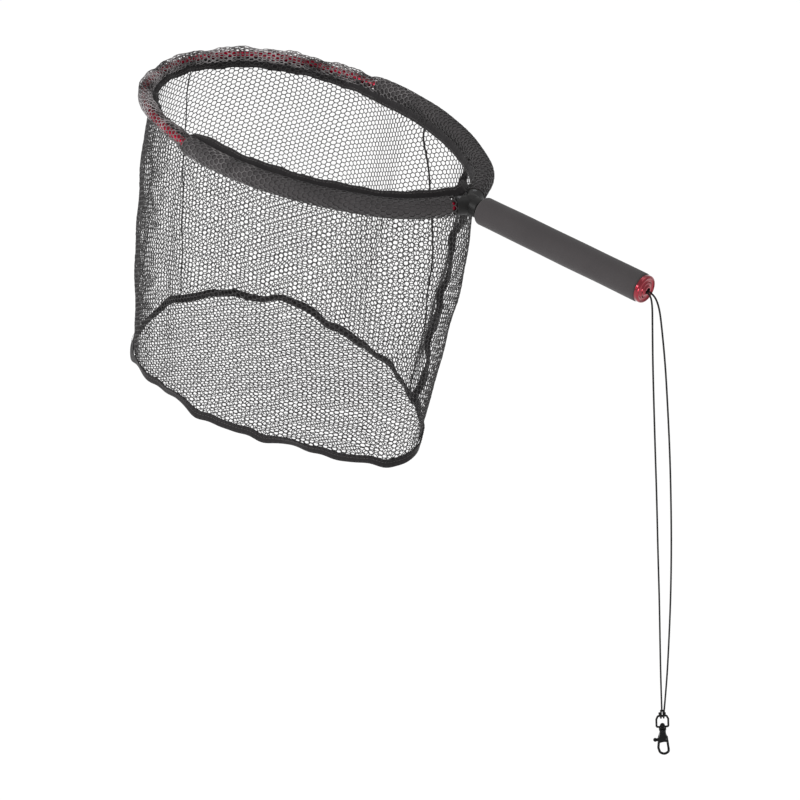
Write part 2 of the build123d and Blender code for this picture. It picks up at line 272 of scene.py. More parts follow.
def strand_tree() -> Tree:
    """Lays a round strand along every edge of a wire mesh, as a knotless net's coated strands lie.

    Returns:
        The node group, with inputs Radius, Sides and Coat.
    """
    tree, given = new_tree("lay_strands", [("Radius", "NodeSocketFloat"), ("Sides", "NodeSocketInt"),
                                           ("Coat", "NodeSocketMaterial")])
    line = add(tree, "GeometryNodeMeshToCurve", {"Mesh": given.outputs["Source"]})
    ring = add(tree, "GeometryNodeCurvePrimitiveCircle",
               {"Radius": given.outputs["Radius"], "Resolution": given.outputs["Sides"]})
    tube = add(tree, "GeometryNodeCurveToMesh",
               {"Fill Caps": True, "Curve": line.outputs[0], "Profile Curve": ring.outputs[0]})
    end_tree(tree, tube.outputs[0], given.outputs["Coat"])
    return tree


def stitch_tree() -> Tree:
    """Sets short thread stitches end to end along a line, with a gap where the thread dips into the tape.

    Returns:
        The node group, with inputs Spacing, Stitch, Thread and Yarn.
    """
    tree, given = new_tree("sew", [("Spacing", "NodeSocketFloat"), ("Stitch", "NodeSocketFloat"),
                                   ("Thread", "NodeSocketFloat"), ("Yarn", "NodeSocketMaterial")])
    line = add(tree, "GeometryNodeMeshToCurve", {"Mesh": given.outputs["Source"]})
    spots = add(tree, "GeometryNodeCurveToPoints",
                {"Curve": line.outputs[0], "Length": given.outputs["Spacing"]}, mode="LENGTH")
    thread = add(tree, "GeometryNodeMeshCylinder",
                 {"Vertices": 6, "Radius": given.outputs["Thread"], "Depth": given.outputs["Stitch"]})
    tilt = add(tree, "FunctionNodeRandomValue", {"Seed": 7}, data_type="FLOAT_VECTOR")
    tilt.inputs[0].default_value, tilt.inputs[1].default_value = (-0.12, -0.12, 0), (0.12, 0.12, 0)
    turned = add(tree, "FunctionNodeRotateRotation",
                 {0: spots.outputs["Rotation"], 1: tilt.outputs[0]}, rotation_space="LOCAL")
    sewn = add(tree, "GeometryNodeInstanceOnPoints",
               {"Points": spots.outputs[0], "Instance": thread.outputs[0], "Rotation": turned.outputs[0]})
    end_tree(tree, sewn.outputs[0], given.outputs["Yarn"])
    return tree


# ------------------------------------------------------------------ finishes
@dataclass(frozen=True)
class Finish:
    """A finish: slow patches and a fine grain mix its two tones, and the grain stands up a little."""

    name: str
    light: str                  # the two ends of its colour's variation, as sRGB hex
    dark: str
    roughness: float
    spread: float = 0.06        # how far the roughness strays each way
    patch: float = 30.0         # the width of the slow patches, in millimetres
    grain: float = 2.2          # the width of the grain, in millimetres
    share: float = 0.5          # how much of the tone is the grain's
    relief: float = 0.3         # how strongly the grain shows as relief
    depth: float = 0.4          # the grain's depth, in millimetres
    patch_detail: float = 3.0
    grain_detail: float = 3.0
    gloss: tuple = ()           # the shader's sockets that are the same all over

    def slow(self, tree: Tree, where: Socket) -> Socket:
        """The slow patches, from 0 to 1."""
        return add(tree, "ShaderNodeTexNoise",
                   {"Scale": 1000 / self.patch, "Detail": self.patch_detail, "Vector": where}).outputs[0]

    def fine(self, tree: Tree, where: Socket) -> Socket:
        """The grain, from 0 to 1."""
        return add(tree, "ShaderNodeTexNoise",
                   {"Scale": 1000 / self.grain, "Detail": self.grain_detail, "Vector": where}).outputs[0]

    def build(self) -> Paint:
        """Makes the material.

        Returns:
            The material, with its pattern in colour, roughness and relief.
        """
        material = bpy.data.materials.new(self.name)
        material.use_nodes = True
        tree = material.node_tree
        shader = tree.nodes["Principled BSDF"]
        for key, value in self.gloss:
            shader.inputs[key].default_value = value
        where = add(tree, "ShaderNodeTexCoord").outputs["Object"]
        grain = self.fine(tree, where)
        tone = add(tree, "ShaderNodeMix", {0: self.share, 2: self.slow(tree, where), 3: grain},
                   data_type="FLOAT").outputs[0]
        colour = add(tree, "ShaderNodeMix", {0: tone, 6: linear(self.dark), 7: linear(self.light)},
                     data_type="RGBA")
        rough = add(tree, "ShaderNodeMapRange",
                    {"Value": tone, "To Min": self.roughness + self.spread, "To Max": self.roughness - self.spread})
        bump = add(tree, "ShaderNodeBump", {"Strength": self.relief, "Distance": self.depth * MM, "Height": grain})
        tree.links.new(colour.outputs[2], shader.inputs["Base Color"])
        tree.links.new(rough.outputs[0], shader.inputs["Roughness"])
        tree.links.new(bump.outputs[0], shader.inputs["Normal"])
        return material


@dataclass(frozen=True)
class AnodisedTube(Finish):
    """Drawn and dyed aluminium tube: long faint draw lines under an even, satin red skin."""

    patch: float = 38.0
    grain: float = 0.9          # draw lines are near 0.6 mm apart; drawn wider so that they show
    share: float = 0.35
    relief: float = 0.12
    depth: float = 0.2
    grain_detail: float = 2.0
    gloss: tuple = (("Metallic", 1.0), ("Coat Weight", 0.25), ("Coat Roughness", 0.2))

    def fine(self, tree: Tree, where: Socket) -> Socket:
        """Lines that run along X, 25 times as long as they are wide."""
        drawn = add(tree, "ShaderNodeMapping", {"Scale": (0.04, 1, 1), "Vector": where}).outputs[0]
        return super().fine(tree, drawn)


@dataclass(frozen=True)
class TurnedCap(Finish):
    """Lathe-turned and dyed aluminium: bright, with rings round the handle's axis under a clear, sealed oxide."""

    patch: float = 7.0
    grain: float = 0.45         # rings 2.8 mm apart; the real ones are finer, but would not show
    share: float = 0.3
    relief: float = 0.05
    depth: float = 0.1
    gloss: tuple = (("Metallic", 1.0), ("Coat Weight", 1.0), ("Coat Roughness", 0.07))

    def fine(self, tree: Tree, where: Socket) -> Socket:
        """Tool marks round X."""
        return add(tree, "ShaderNodeTexWave", {"Scale": WAVE / self.grain, "Distortion": 0.2, "Vector": where},
                   wave_type="RINGS", rings_direction="X").outputs["Fac"]


@dataclass(frozen=True)
class Foam(Finish):
    """Closed-cell EVA foam, cut and sanded: dull and chalky, with a fine grain and faint cloudy patches."""

    grain: float = 1.3          # cells are near 0.4 mm; drawn coarser so that the grain shows
    share: float = 0.45
    relief: float = 0.35
    gloss: tuple = (("Sheen Weight", 0.15), ("Sheen Roughness", 0.45), ("Specular IOR Level", 0.25))

    def fine(self, tree: Tree, where: Socket) -> Socket:
        """Cut cells, and torn ones a little smaller."""
        cells = add(tree, "ShaderNodeTexVoronoi", {"Scale": 1000 / self.grain, "Vector": where}).outputs[0]
        torn = add(tree, "ShaderNodeTexNoise",
                   {"Scale": 1000 / (self.grain * 0.7), "Detail": 3.0, "Vector": where}).outputs[0]
        return add(tree, "ShaderNodeMix", {0: 0.5, 2: cells, 3: torn}, data_type="FLOAT").outputs[0]


@dataclass(frozen=True)
class CoatedStrand(Finish):
    """Knotless nylon dipped in soft PVC: a little glossy, with runs, thin places and a slow change of tone."""

    patch: float = 70.0
    gloss: tuple = (("IOR", 1.52), ("Sheen Weight", 0.06), ("Specular IOR Level", 0.35))


@dataclass(frozen=True)
class PaintedGlintStrand(CoatedStrand):
    """The same strands where they wrap the hoop, with painted highlights: pale glint patches towards the tip."""

    patch: float = 25.0
    share: float = 0.12

    def slow(self, tree: Tree, where: Socket) -> Socket:
        """Painted highlights: pale glint patches that fade out halfway to the handle."""
        along = add(tree, "ShaderNodeSeparateXYZ", {0: where}).outputs[0]
        # the painted highlight fades out along X towards the handle
        reach = add(tree, "ShaderNodeMapRange", {"From Min": -0.28, "From Max": -0.56, "Value": along})
        glint_patches = add(tree, "ShaderNodeMapRange",
                     {"From Min": 0.36, "From Max": 0.68, "Value": super().slow(tree, where)})
        return add(tree, "ShaderNodeMath",
                   {0: reach.outputs[0], 1: glint_patches.outputs[0]}, operation="MULTIPLY").outputs[0]


@dataclass(frozen=True)
class WovenTape(Finish):
    """Woven polyester binding: soft, with a broad sheen, ribs across the tape and lint between them."""

    patch: float = 9.0
    grain: float = 1.5          # ribs 9 mm apart, far coarser than the threads, so that they show
    relief: float = 0.6
    gloss: tuple = (("Sheen Weight", 0.15), ("Sheen Roughness", 0.4), ("Specular IOR Level", 0.2))

    def fine(self, tree: Tree, where: Socket) -> Socket:
        """Two crossing sets of ribs on the tape's own surface, whose UV map is in millimetres."""
        surface = add(tree, "ShaderNodeTexCoord").outputs["UV"]
        flat = add(tree, "ShaderNodeMapping", {"Scale": (MM, MM, MM), "Vector": surface}).outputs[0]
        ribs = [add(tree, "ShaderNodeTexWave",
                    {"Scale": WAVE / self.grain / share, "Distortion": 0.3, "Vector": flat},
                    bands_direction=way).outputs["Fac"]
                for way, share in (("X", 1.0), ("Y", 0.7))]
        return add(tree, "ShaderNodeMath", {0: ribs[0], 1: ribs[1]}, operation="MULTIPLY").outputs[0]


@dataclass(frozen=True)
class BraidedCord(Finish):
    """Braided nylon cord: strands that cross each other round the cord, with a waxy shine."""

    patch: float = 6.0
    grain: float = 3.0          # drawn several times as coarse as the braid, so that it shows
    share: float = 0.6
    relief: float = 0.5
    gloss: tuple = (("Sheen Weight", 0.04), ("Specular IOR Level", 0.2))

    def fine(self, tree: Tree, where: Socket) -> Socket:
        """Crossing strands."""
        braid = [add(tree, "ShaderNodeTexWave",
                     {"Scale": WAVE / self.grain * 1.4, "Distortion": 0.4, "Vector": where},
                     bands_direction=way).outputs["Fac"] for way in ("DIAGONAL", "Z")]
        return add(tree, "ShaderNodeMath", {0: braid[0], 1: braid[1]}, operation="MAXIMUM").outputs[0]


@dataclass(frozen=True)
class CastMetal(Finish):
    """Die-cast zinc or steel with a thin black plating: glossy, with an orange-peel skin."""

    patch: float = 3.6
    grain: float = 1.8
    share: float = 0.0
    relief: float = 0.15
    depth: float = 0.3
    patch_detail: float = 4.0
    gloss: tuple = (("Metallic", 0.8), ("Coat Weight", 0.12), ("Coat Roughness", 0.12), ("Specular IOR Level", 0.3))


@dataclass(frozen=True)
class MouldedNylon(Finish):
    """Glass-filled nylon, injection moulded: fine spark-eroded texture, dull black."""

    patch: float = 14.0
    grain: float = 0.9          # the texture is near 0.5 mm; drawn coarser so that it shows
    depth: float = 0.3
    gloss: tuple = (("IOR", 1.53), ("Specular IOR Level", 0.22))


@dataclass(frozen=True)
class PaintedFloor(Finish):
    """A plain studio floor of translucent sheet, lit from below so that it stays an even white."""

    patch: float = 400.0
    grain: float = 400.0
    share: float = 0.0
    relief: float = 0.02
    depth: float = 0.5
    gloss: tuple = (("Emission Color", (1.0, 1.0, 1.0, 1.0)), ("Emission Strength", 0.87))


class Wardrobe:
    """All of the net's finishes, made once."""

    def __init__(self) -> None:
        """Makes each finish's material."""
        self.tube = AnodisedTube("red_anodised_tube", "#c2123a", "#8f0a28", 0.36).build()
        self.cap = TurnedCap("red_turned_cap", "#ad0f2e", "#640716", 0.16, 0.05).build()
        self.grip = Foam("sanded_eva_grip", "#444041", "#383536", 0.82).build()
        self.sleeve = Foam("eva_hoop_sleeve", "#4a4748", "#363334", 0.8).build()
        self.net = CoatedStrand("pvc_dipped_net", "#2f2c2d", "#141213", 0.36, 0.08).build()
        # the fold's pale tone is painted highlight: glints on the strands towards the tip
        self.fold = PaintedGlintStrand("pvc_dipped_fold", "#b0abac", "#232122", 0.36, 0.08).build()
        self.tape = WovenTape("polyester_binding", "#343233", "#1f1d1e", 0.8).build()
        self.cord = BraidedCord("braided_nylon_cord", "#181716", "#090909", 0.55, 0.1).build()
        self.clip = CastMetal("black_nickel_casting", "#101012", "#050506", 0.26, 0.06).build()
        self.steel = CastMetal("blackened_steel", "#6a6a6c", "#3a3a3c", 0.34, 0.08, patch=1.8, grain=0.9).build()
        self.nylon = MouldedNylon("moulded_black_nylon", "#1c1b1b", "#101010", 0.45).build()
        self.thread = BraidedCord("grey_sewing_thread", "#5c5959", "#3b3939", 0.6, 0.08).build()
        self.floor = PaintedFloor("lit_studio_floor", "#747474", "#707070", 0.95, 0.02).build()


# ------------------------------------------------------------------ outlines
@dataclass(frozen=True)
class Pear:
    """A pear-shaped outline of three arcs a side, from the tip round to the nose."""

    tip_radius: float
    tip_turn: float
    side_radius: float
    side_turn: float
    nose_x: float

    def arcs(self) -> list[tuple[float, float, float]]:
        """Each arc's radius, first heading and last heading."""
        tip_end = 90 - self.tip_turn
        side_end = tip_end - self.side_turn
        reach = (self.tip_radius * cos(radians(tip_end))
                 + self.side_radius * (cos(radians(side_end)) - cos(radians(tip_end))))
        return [(self.tip_radius, 90, tip_end), (self.side_radius, tip_end, side_end),
                (reach / cos(radians(side_end)), side_end, -90)]

    def trace(self, grow: float = 0.0, last: float = -90.0) -> tuple[Array, Array]:
        """Follows the far half closely.

        Args:
            grow: how far the outline is moved outwards.
            last: the heading where it stops.
        Returns:
            Points as x, y and the heading at each, in degrees.
        """
        x = self.nose_x - sum(r * (sin(radians(a)) - sin(radians(b))) for r, a, b in self.arcs()) - grow
        y, points, headings = 0.0, [], []
        for radius, first, end in self.arcs():
            end = max(end, last)
            if end >= first:
                break
            turn = np.linspace(first, end, 120)
            r, a, b = radius + grow, radians(first), np.radians(turn)
            run = np.stack([x + r * (sin(a) - np.sin(b)), y + r * (np.cos(b) - cos(a))], 1)
            points.append(run[1:] if points else run)
            headings.append(turn[1:] if headings else turn)
            x, y = run[-1]
        return np.concatenate(points), np.concatenate(headings)

    def around(self, grow: float, at: Array) -> tuple[Array, Array]:
        """Points all the way round.

        Args:
            grow: how far the outline is moved outwards.
            at: from 0 at the tip, through 0.5 at the nose by the far side, to 1 at the tip again.
        Returns:
            Points and outward directions, both as x, y.
        """
        points, headings = self.trace(grow)
        along = distances(points)
        at = np.mod(np.asarray(at, float), 1.0)
        side = np.where(at <= 0.5, 1.0, -1.0)
        where = np.where(at <= 0.5, at, 1 - at) * 2 * along[-1]
        x, y, turn = (np.interp(where, along, v) for v in (points[:, 0], points[:, 1], np.radians(headings)))
        return np.stack([x, side * y], -1), np.stack([-np.sin(turn), side * np.cos(turn)], -1)


HOOP = Pear(140.0, 66.0, 368.0, 60.5, -154.0)
BASE = Pear(145.0, 80.0, 369.0, 52.0, -201.0)
TAIL_HEADING, TAIL_END_Y, SOCKET_LENGTH, TUBE_SHOWS = -62.0, 9.0, 21.0, 4.0


@dataclass(frozen=True)
class Arm:
    """One bent arm of the hoop, from the tip to its socket in the throat."""

    side: Side
    foam_heading: float         # the hoop's direction where this arm's foam sleeve begins

    def line(self, cut: float) -> tuple[Array, Array, Array]:
        """The arm's centre line.

        Args:
            cut: how far short of the tube's end it stops.
        Returns:
            Points, outward directions and distances from the tip, closely spaced.
        """
        flat, turn = HOOP.trace(last=TAIL_HEADING)
        way = np.array([cos(radians(TAIL_HEADING)), sin(radians(TAIL_HEADING))])
        run = (TAIL_END_Y - flat[-1, 1]) / way[1] - cut
        steps = np.linspace(0, run, 24)[1:, None]
        flat = np.concatenate([flat, flat[-1] + steps * way])
        turn = np.radians(np.concatenate([turn, np.full(len(steps), TAIL_HEADING)]))
        along = distances(flat)
        points = np.stack([flat[:, 0], self.side.value * flat[:, 1], np.zeros(len(flat))], 1)
        out = np.stack([-np.sin(turn), self.side.value * np.cos(turn), np.zeros(len(flat))], 1)
        return points, out, along

    def foam_start(self) -> float:
        """How far from the tip the foam sleeve begins."""
        points, turn = HOOP.trace(last=self.foam_heading)
        return float(np.linalg.norm(np.diff(points, axis=0), axis=1).sum())

    def sample(self, at: Array, cut: float) -> tuple[Array, Array]:
        """Points and outward directions at distances from the tip."""
        points, out, along = self.line(cut)
        return (np.stack([np.interp(at, along, points[:, k]) for k in range(3)], -1),
                np.stack([np.interp(at, along, out[:, k]) for k in range(3)], -1))


FAR_ARM, NEAR_ARM = Arm(Side.FAR, 3.7), Arm(Side.NEAR, 7.1)
SLEEVE_CUT = SOCKET_LENGTH - TAIL_END_Y / sin(radians(-TAIL_HEADING)) + 0.5


@dataclass(frozen=True)
class HexNet:
    """Knotless net: hexagons in rows, each as wide as the pitch, laid on any surface."""

    pitch: float = 7.2
    strand: float = 0.64        # the coated strand's radius

    def edge(self) -> float:
        """A hexagon's side."""
        return self.pitch / 3 ** 0.5

    @staticmethod
    def lattice(first: int, second: int) -> tuple[Array, Array, Array, Array, Array]:
        """A grid of knots that lean to and fro, as a honeycomb's corners do.

        Args:
            first: its rows.
            second: its columns.
        Returns:
            Each knot's row, column, lean in sides of a hexagon, whether it leans ahead, and its number.
        """
        row, column = np.meshgrid(np.arange(first), np.arange(second), indexing="ij")
        ahead = (row + column) % 2 == 0
        return row, column, np.where(ahead, 0.25, -0.25), ahead, row * second + column

    def wrapped(self, columns: int, rows: int) -> tuple[Array, Array, Array]:
        """A net that closes on itself across its columns.

        Args:
            columns: hexagons in one row.
            rows: rows of hexagons.
        Returns:
            Each knot's place across, in turns, and along, from 0 to 1, and the strands as pairs of knots.
        """
        k, m, lean, ahead, index = self.lattice(rows + 1, 2 * columns)
        across = m / (2.0 * columns)
        along = (1.5 * k + lean) / (1.5 * rows + 0.5) + 0.25 / (1.5 * rows + 0.5)
        zigzag = np.stack([index, np.roll(index, -1, axis=1)], -1).reshape(-1, 2)
        upright = np.stack([index[:-1][ahead[:-1]], index[1:][ahead[:-1]]], -1)
        return across.ravel(), along.ravel(), np.concatenate([zigzag, upright])

    def hung(self, lines: int, knots: int) -> tuple[Array, Array, Array]:
        """The same net turned a quarter, so that its zigzags run down the bag.

        Args:
            lines: zigzags all round, an even number.
            knots: half hexagons down each.
        Returns:
            As for wrapped.
        """
        m, k, lean, ahead, index = self.lattice(knots + 1, lines)
        across = (1.5 * k + lean) / (1.5 * lines)
        zigzag = np.stack([index[:-1], index[1:]], -1).reshape(-1, 2)
        bridge = np.stack([index[ahead], np.roll(index, -1, axis=1)[ahead]], -1)
        return across.ravel(), (m / knots).ravel(), np.concatenate([zigzag, bridge])

    def laid(self, name: str, knots: Array, strands: Array, coat: Paint,
             tree: Tree) -> Piece:
        """Makes the strands' mesh.

        Args:
            name: the piece's name.
            knots: where the strands meet.
            strands: pairs of knots.
            coat: the material.
            tree: the strand tree.
        Returns:
            The piece, as a plain mesh.
        """
        used, packed = np.unique(strands, return_inverse=True)
        wire = mesh_piece(name + "_wire", knots[used], [], edges=packed.reshape(-1, 2).tolist())
        return run_tree(name, wire, tree, {"Radius": self.strand * MM, "Sides": 4, "Coat": coat})


def ribbon(name: str, line: Array, across: Array, width: float, thickness: float,
           finish: Paint, closed: bool = False) -> Piece:
    """A woven tape along a line.

    Args:
        name: the piece's name.
        line: points down the tape's middle.
        across: the direction from edge to edge at each point.
        width: the tape's width.
        thickness: its thickness.
        finish: its material.
        closed: whether its ends are sewn together.
    Returns:
        The piece, with a UV map in millimetres.
    """
    ahead = np.roll(line, -1, 0) - np.roll(line, 1, 0) if closed else np.gradient(line, axis=0)
    across = unit(across)
    face = unit(np.cross(ahead, across))
    u = np.linspace(-0.5, 0.5, 7)
    bow = 0.10 * (1 - (2 * u) ** 2)
    top = np.stack([u * width, (bow + 0.42) * thickness], 1)
    low = np.stack([u[::-1] * width, (bow[::-1] - 0.42) * thickness], 1)
    profile = np.concatenate([top, [[width * 0.51, 0]], low, [[-width * 0.51, 0]]])
    rings = line[:, None] + across[:, None] * profile[None, :, :1] + face[:, None] * profile[None, :, 1:]
    uv = np.stack(np.broadcast_arrays(profile[None, :, 0], distances(line)[:, None]), -1)
    return skin_rings(name, rings, finish, closed, True, uv)


def stitch_row(name: str, line: Array, tree: Tree, yarn: Paint,
               closed: bool = False) -> Piece:
    """A row of stitches along a line.

    Args:
        name: the row's name.
        line: its points.
        tree: the stitch tree.
        yarn: the thread's material.
        closed: whether the row ends where it starts.
    Returns:
        The row, fixed in place.
    """
    count = len(line)
    wire = mesh_piece(name + "_line", line, [],
                      edges=[(i, (i + 1) % count) for i in range(count if closed else count - 1)])
    row = run_tree(name, wire, tree, {"Spacing": STITCH_SPACING * MM, "Stitch": STITCH_LENGTH * MM,
                                      "Thread": THREAD_RADIUS * MM, "Yarn": yarn})
    seat(row)
    return row


# ------------------------------------------------------------------ the hoop's dressing
@dataclass
class HoopDressing:
    """Foam sleeves, the net's fold round the hoop and the tape that closes it."""

    wardrobe: Wardrobe
    strands: Tree
    sewing: Tree
    foam_radius: float = 11.0
    tube_radius: float = 5.0
    tape_width: float = 13.0
    tape_thickness: float = 1.3
    stitch_place: float = 3.4   # from the tape's middle towards its inner edge
    lining_stops: ClassVar[dict] = {Side.FAR: 4, Side.NEAR: 95}     # how far short of each foam tube
    # the tape's two edges, inwards of the tube and above it: standing, hanging, and both again at the bare tip
    tape_foot: tuple = ((9.8, 5.0), (10.8, -3.6), (6.6, -0.8), (7.0, -1.6))
    tape_lip: tuple = ((16.6, 13.4), (14.2, -15.0), (17.0, -3.0), (9.6, -14.6))
    rounding: float = 2.5       # how far from a foam tube's ends its cut edge is rounded
    rounded_off: float = 2.2    # how much the rounding takes off its radius

    def foam(self, arm: Arm) -> Piece:
        """A foam tube pushed over one arm, with its cut end a little rounded.

        Args:
            arm: the arm that it covers.
        Returns:
            The piece.
        """
        start, end = arm.foam_start(), arm.line(SLEEVE_CUT + TUBE_SHOWS)[2][-1]
        length = end - start
        steps = np.concatenate([[0, 0, 0.15, 0.5, 1.2, 2.5], np.linspace(5, length - 5, 150),
                                [length - 2.5, length - 1.2, length - 0.5, length, length]])
        inset = np.clip(np.minimum(steps, length - steps) / self.rounding, 0, 1)
        radius = self.foam_radius - self.rounded_off * (1 - np.sqrt(np.clip(1 - (1 - inset) ** 2, 0, 1)))
        radius[[0, -1]] = self.tube_radius
        points, out = arm.sample(start + steps, SLEEVE_CUT)
        turn = np.linspace(0, tau, 40, endpoint=False)
        swell = ripple(steps[:, None] / 100, [(0.12, 1.3, 0.4), (0.10, 2.9, 1.7)]) * (radius[:, None] > 8)
        reach = radius[:, None] + swell + 0.08 * np.sin(3 * turn + steps[:, None] / 25)
        spokes = out[:, None] * np.cos(turn)[:, None] + UP * np.sin(turn)[:, None]
        rings = points[:, None] + spokes * reach[..., None]
        piece = skin_rings(arm.side.label("eva_sleeve"), rings, self.wardrobe.sleeve, False, True)
        seat(piece, arm.side.label("foam_sleeve"))
        return piece

    def bare(self, arm: Arm, at: Array) -> Array:
        """How bare the tube is, from 1 at the tip to 0 on the foam."""
        start = arm.foam_start()
        return 1 - ease(at, start - 14, start + 4)

    def fold(self, arm: Arm, net: HexNet) -> Piece:
        """The net's fold round one arm: tight on the foam, loose and tented over the bare tube.

        Args:
            arm: the arm that it wraps.
            net: the net's hexagons.
        Returns:
            The piece.
        """
        length = arm.line(SLEEVE_CUT)[2][-1]
        across, along, strands = net.wrapped(10, round(length / (1.5 * net.edge())))
        at = along * length
        twist = ripple(at / 260, [(0.03, 1, 0.5), (0.02, 2.3, 2.0)])
        turn = tau * (across + twist) + 0.3
        bare = self.bare(arm, at)
        # over the bare tube the fold is pulled to the tape inwards and stands off the tube above
        inward = np.clip(-np.cos(turn), 0, 1)
        above = np.clip(np.sin(turn), 0, 1)
        loose = (6.6 + 3.6 * above ** 1.5 + 4.5 * inward ** 2
                 + ripple(at / 100, [(1.5, 1.3, 1), (0.9, 3.1, 2)]) * above)
        tight = self.foam_radius + 0.75 + 0.2 * np.sin(3 * turn + at / 11) + 0.5 * inward
        reach = bare * loose + (1 - bare) * tight
        points, out = arm.sample(at, SLEEVE_CUT)
        # the net's cut edge is turned in under the fold, so the bare tube lies behind two layers
        tucked = strands[(at < arm.foam_start() - self.lining_stops[arm.side])[strands].all(1)] + len(at)
        jog = ripple(at / 100, [(0.12, 1.7, 0.2), (0.08, 4.3, 1.1)])
        under = 0.84 * loose + ripple(at / 100, [(0.5, 3.1, 0.7), (0.4, 7.3, 2.6)])
        knots = np.concatenate([points + out * (np.cos(angle) * far)[:, None] + UP * (np.sin(angle) * far)[:, None]
                                for angle, far in ((turn, reach), (turn + 0.33 + jog, under))])
        piece = net.laid(arm.side.label("net_fold"), knots, np.concatenate([strands, tucked]), self.wardrobe.fold,
                         self.strands)
        seat(piece, arm.side.label("rim_sleeve"))
        arm.side.label("eva_sleeve")
        surface_of(piece) / 2
        return piece

    def tape_line(self, arm: Arm, count: int) -> tuple[Array, Array]:
        """Where the binding lies along one arm.

        Args:
            arm: the arm.
            count: how many points.
        Returns:
            The middle of the tape and the direction across it, from the tip on.
        """
        end = arm.line(SLEEVE_CUT - 5)[2][-1]
        at = np.linspace(0, end, count)
        points, out = arm.sample(at, SLEEVE_CUT - 5)
        start = arm.foam_start()
        bare = (1 - ease(at, start - 45, start + 20))[:, None]
        wave = ripple(at / 100, [(0.7, 1.1, arm.side.value), (0.5, 2.7, 1.3)])[:, None] * (1 + bare)
        # it hangs inside the far side of the hoop and stands up inside the near side, and turns over at the tip
        hangs = (0.5 + 0.5 * arm.side.value * ease(at, 0, 110))[:, None]
        rises = ease(at, end - 60, end - 8)[:, None]
        turned = hangs * (1 - rises)
        edges = []
        for foot, stray, lift in ((self.tape_foot, [0.3, 0.5], 0.16), (self.tape_lip, [0.7, 1.2], 0.1)):
            stands, falls, tip_stands, tip_falls = np.array(foot)
            inwards = ((stands * (1 - turned) + falls * turned) * (1 - bare)
                       + (tip_stands * (1 - hangs) + tip_falls * hangs) * bare) + wave * stray
            inwards = inwards * (1 + lift * rises)
            edges.append(points - out * inwards[:, :1] + UP * inwards[:, 1:])
        outer, inner = edges
        return (inner + outer) / 2, inner - outer

    def binding(self) -> list[Piece]:
        """The tape all round the hoop and its row of stitches.

        Returns:
            The tape and the stitches.
        """
        far, near = self.tape_line(FAR_ARM, 260), self.tape_line(NEAR_ARM, 260)
        bridge = np.linspace(0, 1, 7)[1:-1, None]          # across the nose, in front of the throat
        line, across = (np.concatenate([n[:0:-1], f, f[-1] * (1 - bridge) + n[-1] * bridge])
                        for f, n in zip(far, near))
        tape = ribbon("hoop_binding", line, across, self.tape_width, self.tape_thickness, self.wardrobe.tape,
                      closed=True)
        seat(tape, "rim_tape")
        face = unit(np.cross(np.gradient(line, axis=0), across))
        seam = line + unit(across) * self.stitch_place
        return [tape, *(stitch_row(name, seam + face * lift * (self.tape_thickness + 0.25), self.sewing,
                                   self.wardrobe.thread)
                        for name, lift in (("hoop_stitches_upper", 0.5), ("hoop_stitches_lower", -0.5)))]


